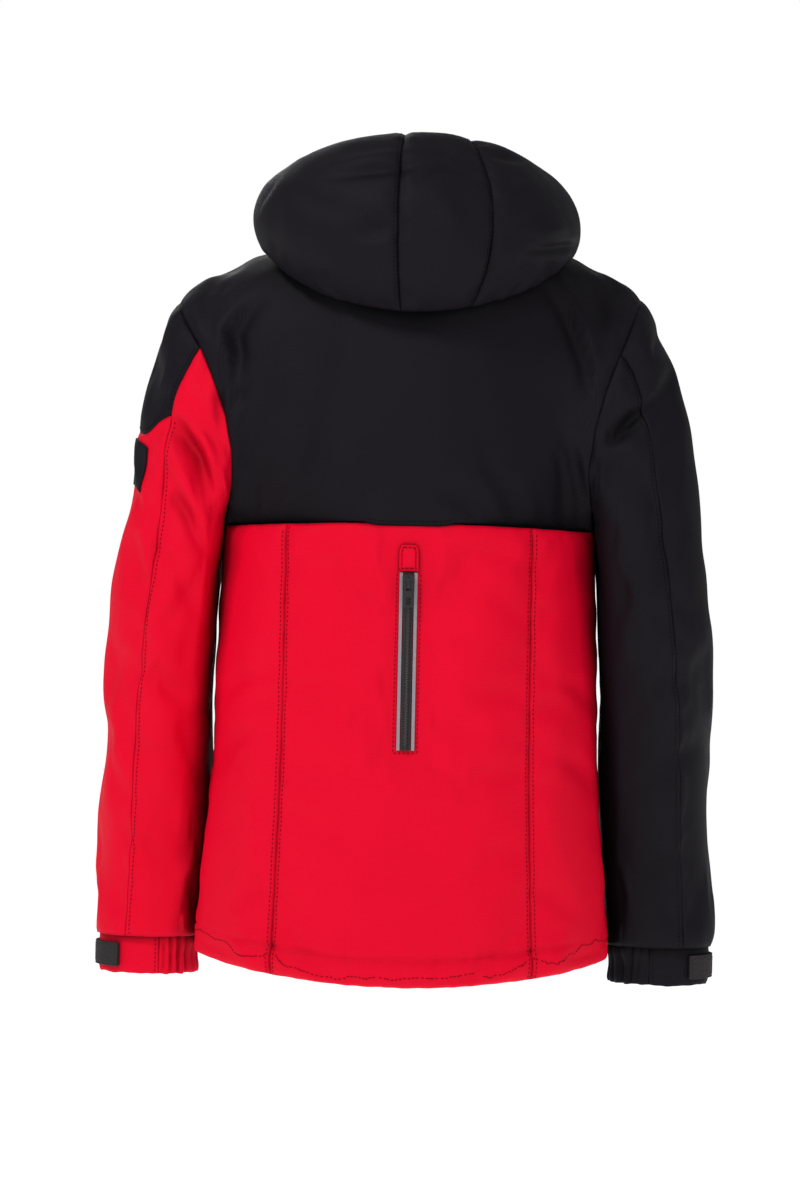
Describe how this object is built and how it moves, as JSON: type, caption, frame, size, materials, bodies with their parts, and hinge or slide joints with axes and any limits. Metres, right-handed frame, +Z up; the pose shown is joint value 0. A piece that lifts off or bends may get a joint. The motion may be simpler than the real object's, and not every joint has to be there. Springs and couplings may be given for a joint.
{
  "type": "insulated ski jacket",
  "caption": "Hooded insulated ski jacket with colour-blocked panels, zipped front, zipped back and hand pockets, and cuffs with closing tabs.",
  "frame": {"origin": "middle of the neck opening, at the height of the nape", "axes": "+Z up, the chest faces -Y and the back +Y, the wearer's left is +X"},
  "size_m": [0.6414, 0.3256, 0.847],
  "materials": {
    "shell_red": "woven polyester face, matt, with a slight sheen",
    "shell_black": "woven polyester face, matt",
    "lining_black": "smooth taffeta lining",
    "reflective": "grey retroreflective tape",
    "zip_coil": "nylon coil on woven tape",
    "zip_metal": "black lacquered zinc",
    "hook_loop": "hook-and-loop tape",
    "strap_black": "moulded or webbing strap"
  },
  "bodies": {
    "jacket_body": {"back_centre_panel": "shell_red", "back_pocket_bag": "lining_black", "back_side_panel_left": "shell_red", "back_side_panel_right": "shell_red", "back_yoke": "shell_black", "back_zip_garage": "shell_red", "back_zip_tape": "zip_coil", "chin_guard": "lining_black", "collar_lining": "lining_black", "collar_shell": "shell_black", "front_panel_left": "shell_red", "front_panel_right": "shell_red", "front_yoke_left": "shell_black", "front_yoke_right": "shell_black", "front_zip_left": "zip_coil", "front_zip_right": "zip_coil", "hand_pocket_bag_left": "lining_black", "hand_pocket_bag_right": "lining_black", "hand_zip_left_tape": "zip_coil", "hand_zip_right_tape": "zip_coil", "hang_loop": "strap_black", "hood_neck": "shell_black", "lining_back": "lining_black", "lining_front_left": "lining_black", "lining_front_right": "lining_black", "reflective_strip_left": "reflective", "reflective_strip_right": "reflective", "storm_flap": "lining_black"},
    "sleeve_left": {"cuff_band_left": "shell_red", "cuff_elastic_left": "shell_red", "cuff_loop_patch_left": "hook_loop", "sleeve_badge": "hook_loop", "sleeve_left_shoulder": "shell_black", "sleeve_left_top": "shell_red", "sleeve_left_under": "shell_red", "sleeve_lining_left": "lining_black"},
    "sleeve_right": {"cuff_band_right": "shell_black", "cuff_elastic_right": "shell_black", "cuff_loop_patch_right": "hook_loop", "sleeve_lining_right": "lining_black", "sleeve_right_top": "shell_black", "sleeve_right_under": "shell_black"},
    "cuff_tab_left": {"cuff_tab_left": "strap_black"},
    "cuff_tab_right": {"cuff_tab_right": "strap_black"},
    "hood": {"hood_centre_panel": "shell_black", "hood_side_panel_left": "shell_black", "hood_side_panel_right": "shell_black", "hood_lining": "lining_black", "hood_rim": "shell_black"},
    "back_zip_slider": {"back_zip_slider": "zip_metal"},
    "back_zip_pull": {"back_zip_pull": "zip_metal"},
    "front_zip_slider": {"front_zip_slider": "zip_metal"},
    "front_zip_pull": {"front_zip_pull": "zip_metal"},
    "hand_zip_left_slider": {"hand_zip_left_slider": "zip_metal"},
    "hand_zip_left_pull": {"hand_zip_left_pull": "zip_metal"},
    "hand_zip_right_slider": {"hand_zip_right_slider": "zip_metal"},
    "hand_zip_right_pull": {"hand_zip_right_pull": "zip_metal"}
  },
  "joints": [
    {"name": "hood_raise", "type": "hinge", "parent": "jacket_body", "child": "hood", "pos_m": [0, -0.05, 0.014], "axis": [1, 0, 0], "range_deg": [0, 70]},
    {"name": "sleeve_left_lift", "type": "hinge", "parent": "jacket_body", "child": "sleeve_left", "pos_m": [0.233, 0, -0.048], "axis": [0, -1, 0], "range_deg": [0, 45]},
    {"name": "sleeve_right_lift", "type": "hinge", "parent": "jacket_body", "child": "sleeve_right", "pos_m": [-0.233, 0, -0.048], "axis": [0, 1, 0], "range_deg": [0, 45]},
    {"name": "cuff_tab_left_open", "type": "hinge", "parent": "sleeve_left", "child": "cuff_tab_left", "pos_m": [0.2915, -0.0785, -0.726], "axis": [0, 0, -1], "range_deg": [0, 100]},
    {"name": "cuff_tab_right_open", "type": "hinge", "parent": "sleeve_right", "child": "cuff_tab_right", "pos_m": [-0.2967, -0.0635, -0.726], "axis": [0, 0, 1], "range_deg": [0, 100]},
    {"name": "back_zip_run", "type": "slide", "parent": "jacket_body", "child": "back_zip_slider", "axis": [0, -0.022, -0.9998], "range_m": [0, 0.15]},
    {"name": "back_zip_pull_flip", "type": "hinge", "parent": "back_zip_slider", "child": "back_zip_pull", "pos_m": [0, 0.14951, -0.34089], "axis": [1, 0, 0], "range_deg": [0, 140]},
    {"name": "front_zip_run", "type": "slide", "parent": "jacket_body", "child": "front_zip_slider", "axis": [0, -0.0545, -0.9985], "range_m": [0, 0.74]},
    {"name": "front_zip_pull_flip", "type": "hinge", "parent": "front_zip_slider", "child": "front_zip_pull", "pos_m": [0, -0.10003, 0.04022], "axis": [-1, 0, 0], "range_deg": [0, 140]},
    {"name": "hand_zip_left_run", "type": "slide", "parent": "jacket_body", "child": "hand_zip_left_slider", "axis": [0.1958, 0.0599, -0.9788], "range_m": [0, 0.14]},
    {"name": "hand_zip_left_pull_flip", "type": "hinge", "parent": "hand_zip_left_slider", "child": "hand_zip_left_pull", "pos_m": [0.12412, -0.10652, -0.44038], "axis": [-0.9186, -0.3383, -0.2044], "range_deg": [0, 140]},
    {"name": "hand_zip_right_run", "type": "slide", "parent": "jacket_body", "child": "hand_zip_right_slider", "axis": [-0.1958, 0.0599, -0.9788], "range_m": [0, 0.14]},
    {"name": "hand_zip_right_pull_flip", "type": "hinge", "parent": "hand_zip_right_slider", "child": "hand_zip_right_pull", "pos_m": [-0.12412, -0.10652, -0.44038], "axis": [-0.9186, 0.3383, 0.2044], "range_deg": [0, 140]}
  ]
}
